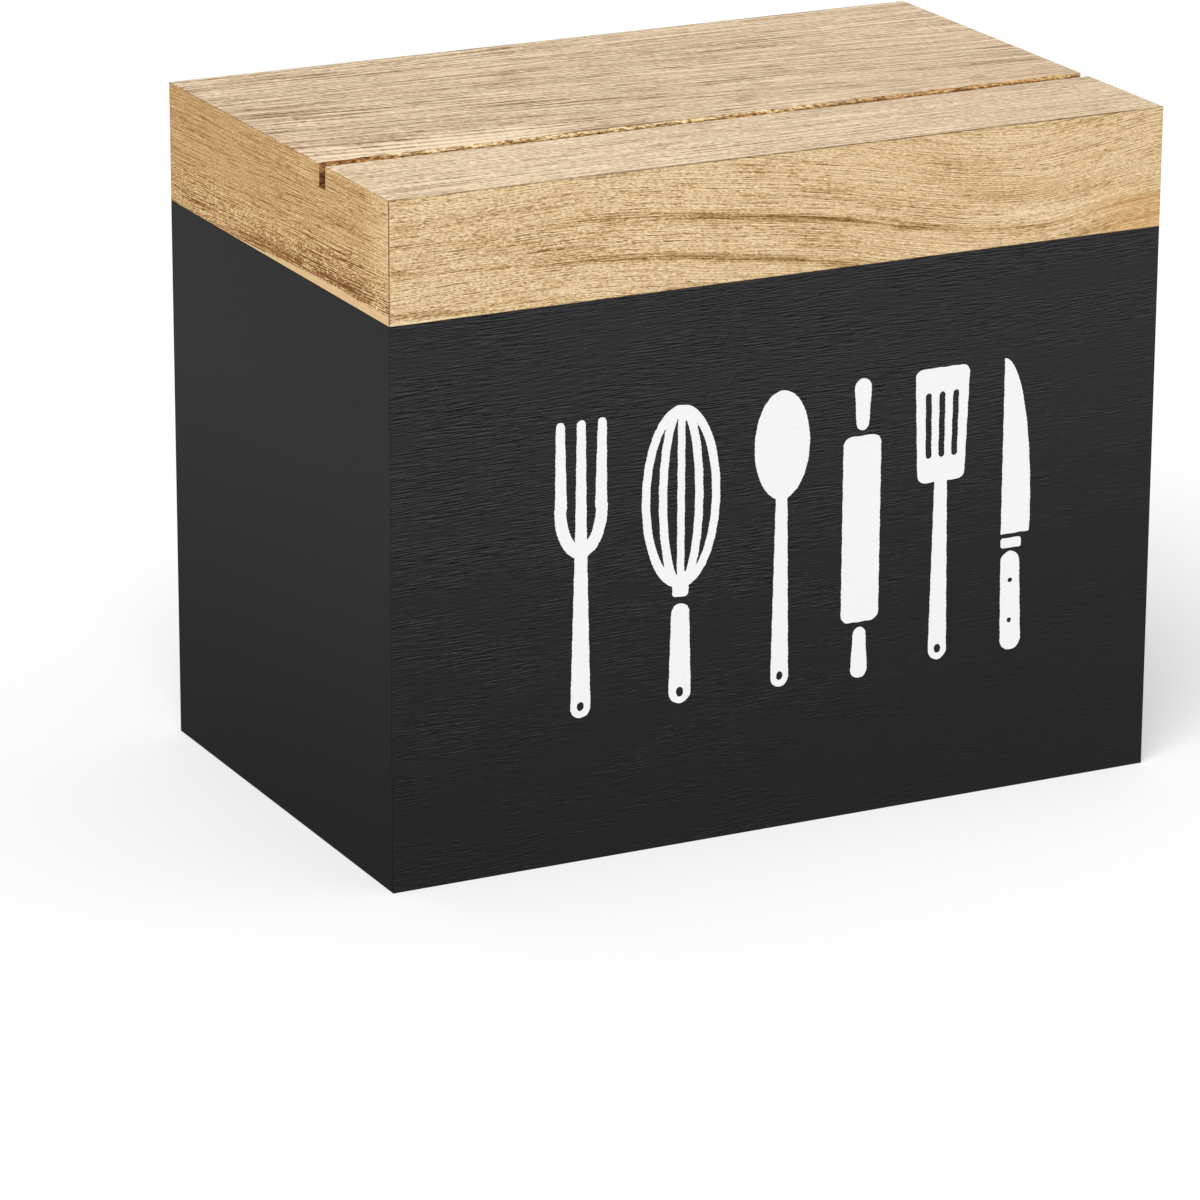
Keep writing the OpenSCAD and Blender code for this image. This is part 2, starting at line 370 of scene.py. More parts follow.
def groove_colours(g, base, reach):
    """Raw, torn wood within reach of the groove's walls, scorched at its left end, with painted shade that
    is darker deep down.
    """
    x, y, z = g.place()
    depth = g.minus(TOP / MM, z)
    from_left = g.plus(x, RIGHT / MM)
    beside = g.math("ABSOLUTE", g.minus(y, GROOVE_Y / MM))
    inside = g.times(
        g.step(depth, 0.02, 0.12),
        g.step(depth, GROOVE_DEPTH / MM + 0.6, GROOVE_DEPTH / MM + 0.2),
        g.step(beside, GROOVE_WIDTH / MM / 2 + reach, GROOVE_WIDTH / MM / 2 + reach * 0.9),
    )
    slant = g.plus(g.times(x, 0.8), g.times(depth, -1.1))
    tears = g.noise(slant, g.times(depth, 3.2), 77, detail=2, rough=0.65)
    tears = g.plus(tears, g.step(from_left, 100, 125, 0, -0.03))
    raw = g.colours(tears, TORN_STOPS)
    raw = g.mix(g.step(from_left, 100, 130, 0, 0.45), raw, RUSTY)
    scorch = g.plus(g.step(from_left, 12, 18, 1, 0), g.times(g.hill(from_left, 142, 40), 0.3))
    raw = g.mix(scorch, raw, g.colours(tears, SCORCHED_STOPS))
    # Painted shade down the groove's walls, and darker painted shade deeper still.
    sunk = g.plus(depth, swing(g, g.noise(g.times(x, 0.3), 4.4, 51, detail=3, rough=0.65), 1.8))
    raw = g.mix(g.step(sunk, 0.4, 0.65, 0, 0.9), raw, g.colours(tears, SHADED_STOPS))
    raw = g.mix(g.step(depth, 1.3, 2.6, 0, 0.9), raw, g.colours(tears, DEEP_SHADE_STOPS))
    return g.mix(inside, base, raw)


def joint_lines(g, base, edges, along, depth):
    """Thin dark lines on the outer face where boards meet, and painted shade along the lid's foot by the
    seam with the case. edges are (distance in mm, width, strength).
    """
    uneven = g.noise(g.times(along, 0.11), 3.3, 12.7, detail=2)
    seen = g.times(g.step(uneven, 0.3, 0.6, 0.35, 1), g.step(depth, 0.25, 0.4, 1, 0))
    for distance, width, strength in edges:
        line = g.times(g.step(distance, width * 0.5, width, 1, 0), seen, strength)
        base = g.mix(line, base, SEAM_BROWN)
    return base


def grain(g, along, across, depth, figure, seed, look):
    """A board's growth rings, the tone of its grain, and its relief."""
    ring = figure(g, along, across)
    sway = g.noise(g.times(along, 0.012), g.times(across, 0.04), seed, detail=2)
    ring = g.plus(ring, swing(g, sway, look["sway"]), g.times(depth, 0.9))
    ripple = g.noise(g.times(along, 0.07), g.times(ring, 0.3), seed + 3, detail=1)
    ring = g.plus(ring, swing(g, ripple, look["ripple"]))
    row = g.times(ring, 1 / look["width"])

    zone = g.noise(g.times(along, 0.012), g.times(ring, 0.09), seed + 10, detail=2)
    growth = g.noise(g.times(along, 0.014), g.times(row, 0.32), seed + 20, detail=2, rough=0.55)
    streak = g.noise(g.times(along, 1 / look["reach"]), row, seed + 30, detail=1, rough=0.5)
    streak = g.step(streak, 0.38, 0.62)
    lines = pairs(g, along, row, look["reach"], seed + 40)
    speck = flecks(g, along, g.times(row, 0.9), look["grit"], seed + 50)
    busy = g.noise(g.times(along, 0.03), g.times(ring, 0.16), seed + 60, detail=1)
    crowd = swing(g, busy, 0.3)
    long_marks = dashes(g, along, g.times(row, 0.75), look["long"], 1, seed + 70, 0.59, 0.65, crowd)
    short_marks = dashes(g, along, g.times(row, 0.75), look["short"], 1, seed + 80, 0.59, 0.66, crowd)
    course = g.noise(g.times(along, 1 / 50), g.times(row, 0.4), seed + 90, detail=1, rough=0.4)
    faint = g.noise(g.times(along, 0.05), g.times(row, 0.15), seed + 95, detail=1)
    hairs = g.times(g.hill(course, 0.5, 0.05), g.step(faint, 0.35, 0.6, 0.25, 1))
    swings = g.plus(
        swing(g, zone, look["zone"]),
        swing(g, growth, look["growth"]),
        swing(g, streak, look["streak"]),
        g.times(lines, look["lines"]),
        g.times(speck, look["speck"], look["mottle"](g, along, across)),
        g.times(hairs, look["hair_dark"]),
        g.times(long_marks, look["long_dark"]),
        g.times(short_marks, look["short_dark"]),
    )
    sanded = g.step(depth, 1, 4, 1, 0.65)
    tone = g.plus(look["mean"], g.times(swings, look["life"](g, along, across), sanded))
    pores = g.math("MAXIMUM", g.times(g.math("MAXIMUM", long_marks, hairs), 0.8), short_marks)
    height = g.minus(g.plus(g.times(streak, 0.4), g.times(lines, -1)), g.times(pores, 0.6))
    return ring, tone, height


def top_life(g, along, across):
    """The top's grain is strongest behind the groove, at its left end."""
    behind = g.step(across, *STRIP_END, 0.66, 1)
    return g.times(behind, g.step(along, -80, 80, 1.2, 0.8))


def front_life(g, along, across):
    """The front rail's grain is a little stronger at its left end."""
    return g.step(along, -30, 40, 1.05, 0.95)


def side_life(g, along, across):
    """The left rail's grain is strongest low down and towards the front."""
    low = g.step(g.minus(across, SEAM / MM), 3, 15, 2.1, 1.0)
    return g.times(low, g.step(along, -40, 30, 1.1, 0.75))


def front_mottle(g, along, across):
    """The front rail is mottled at its left end."""
    return g.step(along, -50, 20, 1, 0.7)


def top_mottle(g, along, across):
    """The top is mottled between the groove and the front."""
    return g.step(across, *STRIP_END, 1.8, 1)


def side_mottle(g, along, across):
    """The left rail is mottled low down."""
    return g.step(g.minus(across, SEAM / MM), 4, 14, 1.3, 0.9)


# How each board's grain looks. mean is its middle tone. sway and ripple bend the grain, by millimetres.
# zone, growth, streak, speck and lines say how much each kind of mark counts, and the dark ones how
# dark the dashes and hairs are. width is the grain's spacing, and reach, grit, long and short are lengths.
TOP_LOOK = {
    "mean": 0.33, "sway": 3, "ripple": 0.12, "zone": 0.22, "growth": 0.24, "streak": 0.26,
    "speck": 0.17, "lines": 1.4, "width": 0.85, "reach": 55, "grit": 1.3, "long": 55,
    "long_dark": 0.26, "short": 9, "short_dark": 0.26, "hair_dark": 0.2,
    "life": top_life, "mottle": top_mottle,
}
FRONT_LOOK = {
    "mean": 0.24, "sway": 2.5, "ripple": 0.3, "zone": 0.15, "growth": 0.16, "streak": 0.1,
    "speck": 0.28, "lines": 1.3, "width": 0.25, "reach": 14, "grit": 0.8, "long": 16,
    "long_dark": 0.2, "short": 2.6, "short_dark": 0.28, "hair_dark": 0.06,
    "life": front_life, "mottle": front_mottle,
}
SIDE_LOOK = {
    "mean": 0.318, "sway": 3, "ripple": 0.3, "zone": 0.12, "growth": 0.16, "streak": 0.1,
    "speck": 0.19, "lines": 1.1, "width": 0.28, "reach": 16, "grit": 0.9, "long": 26,
    "long_dark": 0.24, "short": 5, "short_dark": 0.26, "hair_dark": 0.12,
    "life": side_life, "mottle": side_mottle,
}

# The wood's colours, from its palest tone to its darkest, for tones of 0, 0.34, 0.66 and 1
TONE_PLACES = (0, 0.34, 0.66, 1.0)
TOP_TONES = [(0.92, 0.735, 0.525), (0.655, 0.497, 0.33), (0.435, 0.305, 0.183), (0.19, 0.11, 0.045)]
GOLD_TONES = [(0.98, 0.775, 0.48), (0.70, 0.487, 0.252), (0.43, 0.265, 0.10), (0.18, 0.085, 0.012)]
SIDE_TONES = [(0.98, 0.71, 0.38), (0.63, 0.383, 0.158), (0.39, 0.197, 0.052), (0.19, 0.07, 0.004)]


def finish_wood(g, base, height):
    """Ends a material of wood: nearly matt, with the grain in low relief."""
    normal = g.bump(height, 0.03)
    return g.finish(Base_Color=base, Roughness=0.6, Normal=normal, Specular_IOR_Level=0.12)


def tone_colours(g, tone, tones):
    """The colour that a wood has at a tone."""
    return g.colours(tone, list(zip(TONE_PLACES, tones)))


def top_wood(name):
    """The pale top board, palest in front of the groove and just behind its left end."""
    g = Graph(name)
    x, y, depth = board_axes(g, "top")
    _, tone, height = grain(g, x, y, depth, top_figure, 5, TOP_LOOK)
    pale_strip = g.times(g.step(y, *STRIP_END, 1, 0), g.step(x, -60, 60, -0.13, -0.03))
    tone = g.plus(tone, pale_strip)
    pale_patch = g.times(g.step(y, -22, -21), g.step(y, -17, -9, 1, 0), g.step(x, -50, -20, -0.3, 0))
    tone = g.plus(tone, pale_patch)
    base = tone_colours(g, tone, TOP_TONES)
    edges = [(g.minus(y, FRONT / MM), 0.45, 0.7), (g.minus(BACK / MM, y), 0.3, 0.2)]
    base = joint_lines(g, base, edges, x, depth)
    return finish_wood(g, groove_colours(g, base, 1.3), height)


def front_wood(name):
    """The golden front rail with its growth lines, brown low at its left end and orange at its right."""
    g = Graph(name)
    along, across, depth = board_axes(g, "front")
    ring, tone, height = grain(g, along, across, depth, front_course, 11, FRONT_LOOK)
    tone = front_lines(g, along, ring, tone)
    u = g.plus(along, RIGHT / MM)
    v = g.minus(across, SEAM / MM)
    low = g.times(g.hill(v, g.step(u, 0, 30, 1.9, 0.4), 1.3), g.step(u, 12, 30, 0.3, 0))
    low = g.minus(low, g.times(g.step(v, 0.5, 0.9, 1, 0), g.step(u, 12, 24, 0.25, 0)))
    base = tone_colours(g, g.plus(tone, low), GOLD_TONES)
    flush = g.times(g.step(u, 160, 172), g.step(v, 10, 6))
    base = g.mix(g.times(flush, 0.4), base, FLUSH)
    # The line along v, at the lid's foot, is painted shade at the seam with the case.
    edges = [(u, 0.3, 0.75), (g.minus(TOP / MM, across), 0.25, 0.7), (v, 0.15, 0.6)]
    return finish_wood(g, joint_lines(g, base, edges, along, depth), height)


def left_wood(name):
    """The golden left rail with its brown band, and the pale strip under it."""
    g = Graph(name)
    along, across, depth = board_axes(g, "left")
    _, tone, height = grain(g, along, across, depth, side_figure, 37, SIDE_LOOK)
    base = tone_colours(g, left_marks(g, along, across, tone), SIDE_TONES)
    base = sapwood(g, along, across, base)
    edges = [
        (g.minus(along, FRONT / MM), 0.3, 0.75),
        # At the lid's foot: painted shade at the seam with the case.
        (g.minus(across, SEAM / MM), 0.15, 0.6),
        (g.minus(BACK / MM, along), 0.2, 0.3),
    ]
    base = joint_lines(g, base, edges, along, depth)
    return finish_wood(g, groove_colours(g, base, 0.01), height)


def plain_rail(name, side, seed):
    """Golden wood for the rails at the back and the right."""
    g = Graph(name)
    along, across, depth = board_axes(g, side)
    _, tone, height = grain(g, along, across, depth, plain_figure, seed, FRONT_LOOK)
    base = tone_colours(g, tone, GOLD_TONES)
    # The second line, at the lid's foot, is painted shade at the seam with the case.
    edges = [(g.minus(TOP / MM, across), 0.25, 0.6), (g.minus(across, SEAM / MM), 0.15, 0.6)]
    base = joint_lines(g, base, edges, along, depth)
    return finish_wood(g, groove_colours(g, base, 0.01), height)


def black_paint(name, side, relief, level, fall, foot_shade_top, gloss):
    """Satin black paint, thin enough for the wood's open grain to show.

    relief is how much the grain shows, and level how light the paint is. It darkens by fall
    towards the foot, from a height of fade in mm, as painted shade; gloss is its specular level.
    """
    g = Graph(name)
    along, across, depth = board_axes(g, side)
    sway = g.noise(g.times(along, 0.012), g.times(across, 0.03), 61, detail=2)
    ring = g.plus(across, swing(g, sway, 4), g.times(depth, 0.9))
    busy = g.noise(g.times(along, 0.035), g.times(ring, 0.12), 66, detail=2)
    streak = g.noise(g.times(along, 0.14), g.times(ring, 1.6), 71, detail=1, rough=0.6)
    pore = pairs(g, along, g.times(ring, 3.3), 6, 81)
    x, _, z = g.place()
    # Towards the top and the left the grain shows more: in its relief, and as painted highlight on its pale
    # lines.
    thin = g.plus(g.step(z, 10, 121), g.step(x, -10, 85, 0.3, -0.35))
    showing = g.times(g.step(busy, 0.36, 0.62, 0.3, 1.3), g.step(thin, 0, 1.3, 0.15, 1.05))
    ridges = g.times(g.plus(g.times(streak, 0.3), g.times(pore, 1.5)), showing)
    lines = g.plus(g.times(pore, 5 * relief), swing(g, streak, 0.7 * relief))
    # The step in z darkens the paint towards the foot: painted shade.
    tone = g.plus(level, g.step(z, 0, foot_shade_top, -fall, 0.1), g.times(lines, showing))
    base = g.colours(tone, BLACK_STOPS)
    normal = g.bump(ridges, 0.16 * relief)
    return g.finish(Base_Color=base, Roughness=0.5, Normal=normal, Specular_IOR_Level=gloss)


def white_paint(name):
    """Matt white paint with the grain's pores just showing."""
    g = Graph(name)
    x, _, z = g.place()
    pore = g.noise(g.times(x, 0.12), g.times(z, 3.2), 81, detail=2, rough=0.6)
    base = g.colours(pore, WHITE_STOPS)
    return g.finish(Base_Color=base, Roughness=0.7, Normal=g.bump(pore, 0.02))


def metal(name, colour, worn, roughness, scale):
    """Metal with fine scratches along the hinge and faint blotches."""
    g = Graph(name)
    x, y, z = g.place()
    blotch = g.noise(g.times(x, scale), g.times(y, scale), g.times(z, scale), detail=3)
    scratch = g.noise(g.times(x, 0.4), g.times(y, 9), g.times(z, 9), detail=2)
    base = g.mix(g.step(blotch, 0.35, 0.75), colour, worn)
    rough = g.plus(roughness, g.times(g.minus(scratch, 0.5), 0.25))
    return g.finish(Base_Color=base, Metallic=1.0, Roughness=rough, Normal=g.bump(scratch, 0.01))


def wear(node, material):
    """Gives a CAD node its material."""
    mesh = NODES[node].data
    mesh.materials.clear()
    mesh.materials.append(material)


def ease(node):
    """Eases a board's arrises a little, so that its joints show as fine lines."""
    piece = NODES[node]
    weld = piece.modifiers.new("weld", "WELD")
    weld.merge_threshold = CAD_GAP
    bevel = piece.modifiers.new("ease", "BEVEL")
    bevel.width = EASED
    bevel.segments = 1
    bevel.limit_method = "ANGLE"
    bevel.angle_limit = math.radians(SHARP)
    normals = piece.modifiers.new("normals", "WEIGHTED_NORMAL")
    normals.keep_sharp = False


def new_piece(name, mesh, body, material):
    """Adds a piece that rides a body, in the material given."""
    mesh.materials.append(material)
    piece = bpy.data.objects.new(name, mesh)
    bpy.context.scene.collection.objects.link(piece)
    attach(piece, body)
    return piece


def smooth(value, low, high):
    """A smooth change from 0 to 1 while value goes from low to high."""
    t = min(max((value - low) / (high - low), 0), 1)
    return t * t * (3 - 2 * t)


def torn(x, depth, seed):
    """How far a groove wall stands out of true at x, a depth below the top; all in mm."""
    tufts = noise.noise((x * 0.55 - depth * 0.9, depth * 1.1, seed))
    fibres = noise.noise((x * 1.9 - depth * 1.6, depth * 2.4, seed + 5))
    chip = 0.45 + 0.7 * noise.noise((x * 0.21, seed + 9, 0)) + 0.35 * noise.noise((x * 1.5, seed + 12, 0))
    return 0.16 * tufts + 0.12 * fibres - 1.0 * max(0, chip) * (1 - smooth(depth, 0, 0.9))


def top_section(x):
    """The top board's outline across the grain at x, in metres, as (y, z) points."""
    past = max(0, abs(x) - (RIGHT - THICKNESS))
    low = TOP_LOW.z + past
    inset = TOP - low
    floor = max(TOP - GROOVE_DEPTH, low)
    calm = smooth((RIGHT - abs(x)) / MM, 0.3, 4)
    near, far = GROOVE_Y - GROOVE_WIDTH / 2, GROOVE_Y + GROOVE_WIDTH / 2
    depths = [(TOP - floor) * (row / WALL_ROWS) ** 1.3 for row in range(WALL_ROWS + 1)]
    near_wall = [(near + 0.25 * calm * torn(x / MM, d / MM, 3) * MM, TOP - d) for d in depths]
    far_wall = [(far - calm * torn(x / MM, d / MM, 21) * MM, TOP - d) for d in depths]
    front = [(FRONT + inset, low), (FRONT + BLUNT, TOP - BLUNT), (FRONT + BLUNT, TOP)]
    back = [(BACK - BLUNT, TOP), (BACK - BLUNT, TOP - BLUNT), (BACK - inset, low)]
    return front + near_wall + far_wall[::-1] + back


def torn_top(material):
    """The lid's top board, with the groove's walls torn as the saw left them."""
    through = RIGHT - GROOVE_DEPTH
    ends = RIGHT - BLUNT
    count = round(2 * ends / GROOVE_STEP)
    stations = [ends * (2 * i / count - 1) for i in range(count + 1)]
    stations = sorted(stations + [-through, through, THICKNESS - RIGHT, RIGHT - THICKNESS])
    sections = [top_section(x) for x in stations]
    size = len(sections[0])
    near_foot, far_foot = 3 + WALL_ROWS, 4 + WALL_ROWS
    faces = []
    for i in range(len(stations) - 1):
        a, b = i * size, (i + 1) * size
        inside = max(abs(stations[i]), abs(stations[i + 1])) <= through + SAME_PLACE
        faces += [(a + j, a + j + 1, b + j + 1, b + j) for j in range(size - 1) if inside or j != near_foot]
        if not inside:
            faces.append((a, b, b + near_foot, a + near_foot))
            faces.append((a + far_foot, b + far_foot, b + size - 1, a + size - 1))
            continue
        a_feet = [a + far_foot, a + near_foot] if abs(stations[i] + through) < SAME_PLACE else []
        b_feet = [b + near_foot, b + far_foot] if abs(stations[i + 1] - through) < SAME_PLACE else []
        faces.append((a + size - 1, *a_feet, a, b, *b_feet, b + size - 1))
    for first in (0, (len(stations) - 1) * size):
        faces.append(tuple(range(first, first + near_foot + 1)))
        faces.append(tuple(range(first + far_foot, first + size)))
    mesh = bpy.data.meshes.new("torn_top")
    mesh.from_pydata([(x, y, z) for x, section in zip(stations, sections) for y, z in section], [], faces)
    clean(mesh)
    piece = new_piece("torn_top", mesh, "lid", material)
    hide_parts("lid_top")


def clean(mesh):
    """Joins coincident points, drops faces without area and turns all faces outwards."""
    shape = bmesh.new()
    shape.from_mesh(mesh)
    bmesh.ops.remove_doubles(shape, verts=shape.verts, dist=NEW_GAP)
    bmesh.ops.dissolve_degenerate(shape, edges=shape.edges, dist=NEW_GAP)
    bmesh.ops.recalc_face_normals(shape, faces=shape.faces)
    shape.to_mesh(mesh)
    shape.free()


# The stencil. Each utensil is drawn about x = 0, in millimetres, at its height above the table,
# as a field that is negative inside its outline.


def stroke(x, z, start, end, start_radius, end_radius=None):
    """Distance to a round-ended stroke whose radius changes evenly along it."""
    end_radius = start_radius if end_radius is None else end_radius
    along = np.array(end, float) - start
    t = ((x - start[0]) * along[0] + (z - start[1]) * along[1]) / (along @ along)
    t = np.clip(t, 0, 1)
    away = np.hypot(x - start[0] - t * along[0], z - start[1] - t * along[1])
    return away - start_radius - t * (end_radius - start_radius)


def oval(x, z, centre, half_width, half_height):
    """Distance, nearly, to an oval's outline: negative inside."""
    dx, dz = x - centre[0], z - centre[1]
    field = (dx / half_width) ** 2 + (dz / half_height) ** 2 - 1
    slope = 2 * np.hypot(dx / half_width**2, dz / half_height**2)
    return field / np.maximum(slope, 0.05)


def panel(x, z, centre, half_width, half_height, corner):
    """Distance to a rectangle with round corners: negative inside."""
    dx = np.abs(x - centre[0]) - half_width + corner
    dz = np.abs(z - centre[1]) - half_height + corner
    outside = np.hypot(np.maximum(dx, 0), np.maximum(dz, 0))
    return outside + np.minimum(np.maximum(dx, dz), 0) - corner


def join(*fields):
    """What is in any of the shapes."""
    return np.minimum.reduce(fields)


def cut(field, *holes):
    """What is in the first shape and in no other."""
    return np.maximum.reduce([field, *(-hole for hole in holes)])


def fork(x, z):
    spread = 4.6
    feet = {-1: 77.5, 0: 69, 1: 77.5}
    tines = [
        stroke(x, z, (s * spread, foot), (s * spread * 1.04, 95), 1.35, 1.0)
        for s, foot in feet.items()
    ]
    ring = np.abs(oval(x, z, (0, 77.5), spread, 9.5)) - 1.35
    yoke = np.maximum(ring, z - 77.5)
    handle = stroke(x, z, (0, 70), (0, 34), 1.35, 2.3)
    return cut(join(*tines, yoke, handle), oval(x, z, (0, 34.2), 0.8, 1.0))


def whisk(x, z):
    loops = [np.abs(oval(x, z, (0, 76.5), half, 18.8)) - 0.95 for half in (8.1, 4.1)]
    wire = stroke(x, z, (0, 58), (0, 95), 0.85)
    collar = panel(x, z, (0, 57), 1.9, 2.2, 0.8)
    grip = stroke(x, z, (0, 51.2), (0, 34), 2.1, 2.6)
    return cut(join(*loops, wire, collar, grip), oval(x, z, (0, 33.9), 0.85, 1.1))


def spoon(x, z):
    bowl = oval(x, z, (0, 84.5), 6.5, 11.8)
    handle = stroke(x, z, (0, 76), (0, 33.5), 1.3, 2.1)
    return cut(join(bowl, handle), oval(x, z, (0, 33.8), 0.75, 1.0))


def rolling_pin(x, z):
    barrel = panel(x, z, (0, 63.5), 4.5, 20.5, 2.0)
    knobs = [stroke(x, z, (0, 63.5 + s * 23.2), (0, 63.5 + s * 31), 1.5, 2.0) for s in (-1, 1)]
    return join(barrel, *knobs)


def turner(x, z):
    flare = 1 + (z - 84) * 0.006
    head = panel(x / flare, z, (0, 84), 6.1, 12.5, 1.8)
    slots = [stroke(x, z, (s * 3.1, 77.5), (s * 3.3, 90.5), 0.72) for s in (-1, 0, 1)]
    handle = stroke(x, z, (0, 72), (0, 34), 1.5, 2.2)
    return join(cut(head, *slots), cut(handle, oval(x, z, (0, 34.2), 0.8, 1.0)))


def knife(x, z):
    belly = oval(x, z, (-3.3, 62), 7.0, 34.5)
    blade = np.maximum.reduce([belly, -(x + 3.3), 57.5 - z])
    bolster = panel(x, z, (-0.8, 55.4), 2.5, 1.1, 0.5)
    grip = stroke(x, z, (-0.9, 51.2), (-0.4, 33.8), 2.3, 2.5)
    rivets = [oval(x, z, (-0.7, height), 0.55, 0.55) for height in (38, 47)]
    return join(blade, bolster, cut(grip, *rivets))


# The utensils from left to right with half of each one's width, the stencil's edges, its cell, the
# margin round each utensil, and how close two points are joined, in millimetres
UTENSILS = ((fork, 6.0), (whisk, 9.05), (spoon, 6.5), (rolling_pin, 4.5), (turner, 6.5), (knife, 3.8))
STENCIL_LEFT, STENCIL_RIGHT = -53.0, 60.0
STENCIL_LOW, STENCIL_HIGH = 30.0, 98.0
STENCIL_CELL = 0.3
STENCIL_MARGIN = 1.2
STENCIL_GAP = 0.02

# Edges inside the stencil that turn by less than this are dissolved, in degrees
STENCIL_FLAT = 3


def stencil_part(draw, centre, half_width):
    """One utensil as a flat shape whose edge is where its field crosses zero."""
    reach = half_width + STENCIL_MARGIN
    across = np.arange(-reach, reach, STENCIL_CELL)
    up = np.arange(STENCIL_LOW, STENCIL_HIGH, STENCIL_CELL)
    x, z = np.meshgrid(across, up)
    field = draw(x, z)
    bleed = 0.04 * np.sin(1.3 * z + 2.1 * x + centre) + 0.03 * np.sin(5.1 * z - 1.3 * x + 2 * centre)
    bleed += 0.03 * np.sin(9.7 * z + 0.6 * x) * np.sin(3.3 * z + centre)
    field = field + bleed
    rows, columns = field.shape
    shape = bmesh.new()
    points = [
        shape.verts.new((x[r, c] + centre, field[r, c], z[r, c]))
        for r in range(rows)
        for c in range(columns)
    ]
    for r in range(rows - 1):
        for c in range(columns - 1):
            if field[r:r + 2, c:c + 2].min() < STENCIL_CELL:
                i = r * columns + c
                shape.faces.new((points[i], points[i + 1], points[i + columns + 1], points[i + columns]))
    bmesh.ops.triangulate(shape, faces=shape.faces)
    geometry = shape.verts[:] + shape.edges[:] + shape.faces[:]
    edge = {"plane_co": (0, 0, 0), "plane_no": (0, 1, 0), "dist": 1e-6}
    bmesh.ops.bisect_plane(shape, geom=geometry, clear_outer=True, **edge)
    bmesh.ops.delete(shape, geom=[v for v in shape.verts if not v.link_faces], context="VERTS")
    for vertex in shape.verts:
        vertex.co = Vector((vertex.co.x * MM, FRONT, vertex.co.z * MM))
    return shape


def kitchen_stencil(material):
    """A row of kitchen utensils in white paint on the case's front."""
    total = sum(2 * half for _, half in UTENSILS)
    space = (STENCIL_RIGHT - STENCIL_LEFT - total) / (len(UTENSILS) - 1)
    place = STENCIL_LEFT
    mesh = bpy.data.meshes.new("kitchen_stencil")
    whole = bmesh.new()
    for draw, half in UTENSILS:
        part = stencil_part(draw, place + half, half)
        scratch = bpy.data.meshes.new("part")
        part.to_mesh(scratch)
        part.free()
        whole.from_mesh(scratch)
        bpy.data.meshes.remove(scratch)
        place += 2 * half + space
    bmesh.ops.remove_doubles(whole, verts=whole.verts, dist=STENCIL_GAP * MM)
    flat = math.radians(STENCIL_FLAT)
    bmesh.ops.dissolve_limit(whole, angle_limit=flat, verts=whole.verts, edges=whole.edges)
    raised = bmesh.ops.extrude_face_region(whole, geom=whole.faces[:])
    for item in raised["geom"]:
        if isinstance(item, bmesh.types.BMVert):
            item.co.y -= PAINT_THICKNESS
    bmesh.ops.recalc_face_normals(whole, faces=whole.faces)
    whole.to_mesh(mesh)
    whole.free()
    new_piece("kitchen_stencil", mesh, "case", material)


def add_camera():
    """The photograph's view."""
    azimuth, elevation, roll = (math.radians(a) for a in (AZIMUTH, ELEVATION, ROLL))
    level = math.cos(elevation)
    away = Vector((math.sin(azimuth) * level, -math.cos(azimuth) * level, math.sin(elevation)))
    flat_right = Vector((math.cos(azimuth), math.sin(azimuth), 0))
    flat_up = away.cross(flat_right)
    right = flat_right * math.cos(roll) + flat_up * math.sin(roll)
    up = flat_up * math.cos(roll) - flat_right * math.sin(roll)
    centre = Vector((0, (FRONT + BACK) / 2, TOP / 2))
    place = centre + away * DISTANCE + right * VIEW_SHIFT_RIGHT + up * VIEW_SHIFT_UP
    camera = bpy.data.objects.new("camera", bpy.data.cameras.new("camera"))
    camera.data.sensor_width = SENSOR_MM
    camera.data.lens = LENS_MM
    camera.matrix_world = Matrix.Translation(place) @ Matrix((right, up, away)).transposed().to_4x4()
    bpy.context.scene.collection.objects.link(camera)
    bpy.context.scene.camera = camera


def seen_directly(tree):
    """1 for rays that show the background: straight, in gloss or through glass."""
    path = tree.nodes.new("ShaderNodeLightPath")
    total = path.outputs["Is Camera Ray"]
    for name in ("Is Glossy Ray", "Is Transmission Ray"):
        either = tree.nodes.new("ShaderNodeMath")
        either.operation = "MAXIMUM"
        tree.links.new(total, either.inputs[0])
        tree.links.new(path.outputs[name], either.inputs[1])
        total = either.outputs[0]
    return total


def add_stage():
    """A pale floor, which keeps the object's shadow."""
    g = Graph("pale_floor")
    diffuse = g.add("BsdfDiffuse", {"Color": (FLOOR_ALBEDO,) * 3})
    lift = g.add("Emission", {"Strength": g.times(seen_directly(g.tree), FLOOR_LIFT)})
    output = g.tree.nodes.new("ShaderNodeOutputMaterial")
    g.plug(output.inputs["Surface"], g.add("AddShader", {0: diffuse, 1: lift}))
    mesh = bpy.data.meshes.new("floor")
    corners = [(x * FLOOR_HALF, y * FLOOR_HALF, 0) for x, y in ((-1, -1), (1, -1), (1, 1), (-1, 1))]
    mesh.from_pydata(corners, [], [(0, 1, 2, 3)])
    mesh.materials.append(g.material)
    floor = bpy.data.objects.new("floor", mesh)
    bpy.context.scene.collection.objects.link(floor)


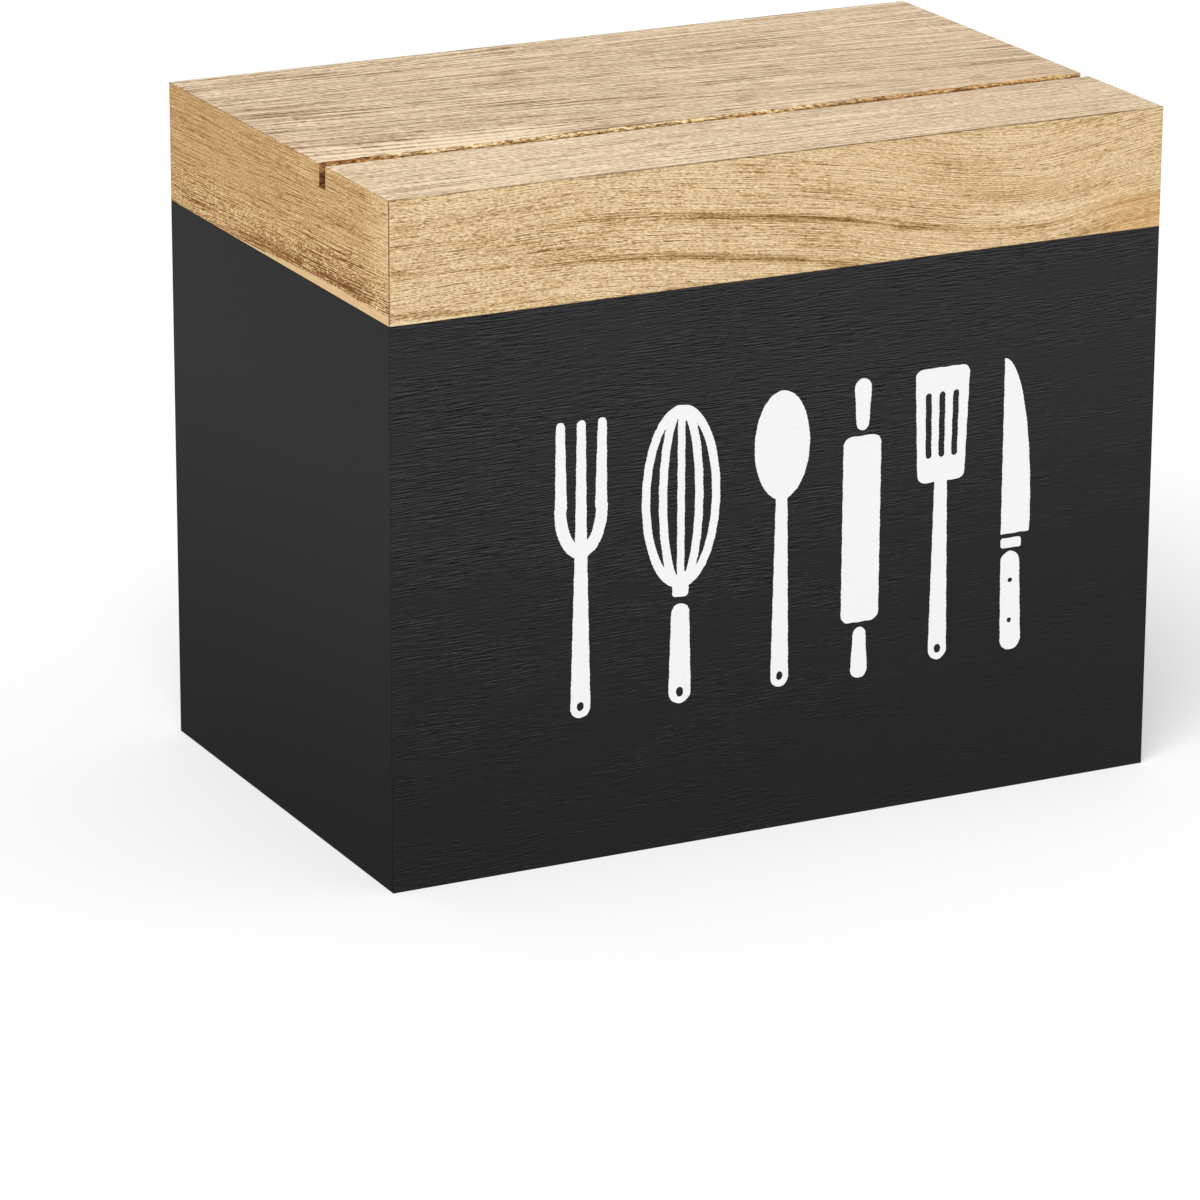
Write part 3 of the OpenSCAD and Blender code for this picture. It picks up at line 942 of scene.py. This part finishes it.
def add_sun(name, towards, strength, softness):
    """A broad, soft lamp far away, which shines from the direction given."""
    lamp = bpy.data.lights.new(name, "SUN")
    lamp.energy = strength
    lamp.angle = math.radians(softness)
    piece = bpy.data.objects.new(name, lamp)
    piece.matrix_world = Vector(towards).to_track_quat("Z", "Y").to_matrix().to_4x4()
    bpy.context.scene.collection.objects.link(piece)


def add_light():
    """An even pale sky, white where it is seen, and two soft lamps."""
    world = bpy.data.worlds.new("studio")
    world.use_nodes = True
    tree = world.node_tree
    tree.nodes.clear()
    strength = tree.nodes.new("ShaderNodeMapRange")
    strength.inputs["To Min"].default_value = SKY_LEVEL
    strength.inputs["To Max"].default_value = 1.0
    tree.links.new(seen_directly(tree), strength.inputs["Value"])
    background = tree.nodes.new("ShaderNodeBackground")
    tree.links.new(strength.outputs[0], background.inputs["Strength"])
    output = tree.nodes.new("ShaderNodeOutputWorld")
    tree.links.new(background.outputs[0], output.inputs["Surface"])
    bpy.context.scene.world = world
    add_sun("key", *KEY_LAMP)
    add_sun("fill", *FILL_LAMP)


def main():
    bpy.context.scene.view_settings.view_transform = "Standard"
    add_camera()
    add_stage()
    add_light()

    torn_top(top_wood("top_wood"))
    kitchen_stencil(white_paint("white_paint"))
    wear("lid_front", front_wood("front_wood"))
    wear("lid_left", left_wood("left_wood"))
    wear("lid_back", plain_rail("back_wood", "back", 23))
    wear("lid_right", plain_rail("right_wood", "right", 41))
    for side, paint in CASE_PAINT.items():
        wear("case_" + side, black_paint("black_" + side, side, *paint))
    wear("case_bottom", black_paint("black_bottom", "top", *BOTTOM_PAINT))
    for box in ("lid", "case"):
        for side in ("front", "back", "left", "right"):
            ease(f"{box}_{side}")

    brass = metal("satin_brass", (0.60, 0.42, 0.18), worn=(0.42, 0.27, 0.10), roughness=0.35, scale=0.4)
    steel = metal("pin_steel", (0.52, 0.50, 0.47), worn=(0.36, 0.33, 0.30), roughness=0.35, scale=0.6)
    nickel = metal("nickel", (0.66, 0.66, 0.67), worn=(0.52, 0.52, 0.54), roughness=0.18, scale=0.5)
    for side in ("left", "right"):
        for piece in ("case_leaf", "lid_leaf", "case_screws", "lid_screws"):
            wear(f"{side}_hinge_{piece}", brass)
        wear(f"{side}_hinge_pin", steel)
        for piece in ("case_magnet", "lid_magnet"):
            wear(f"{side}_{piece}", nickel)


main()
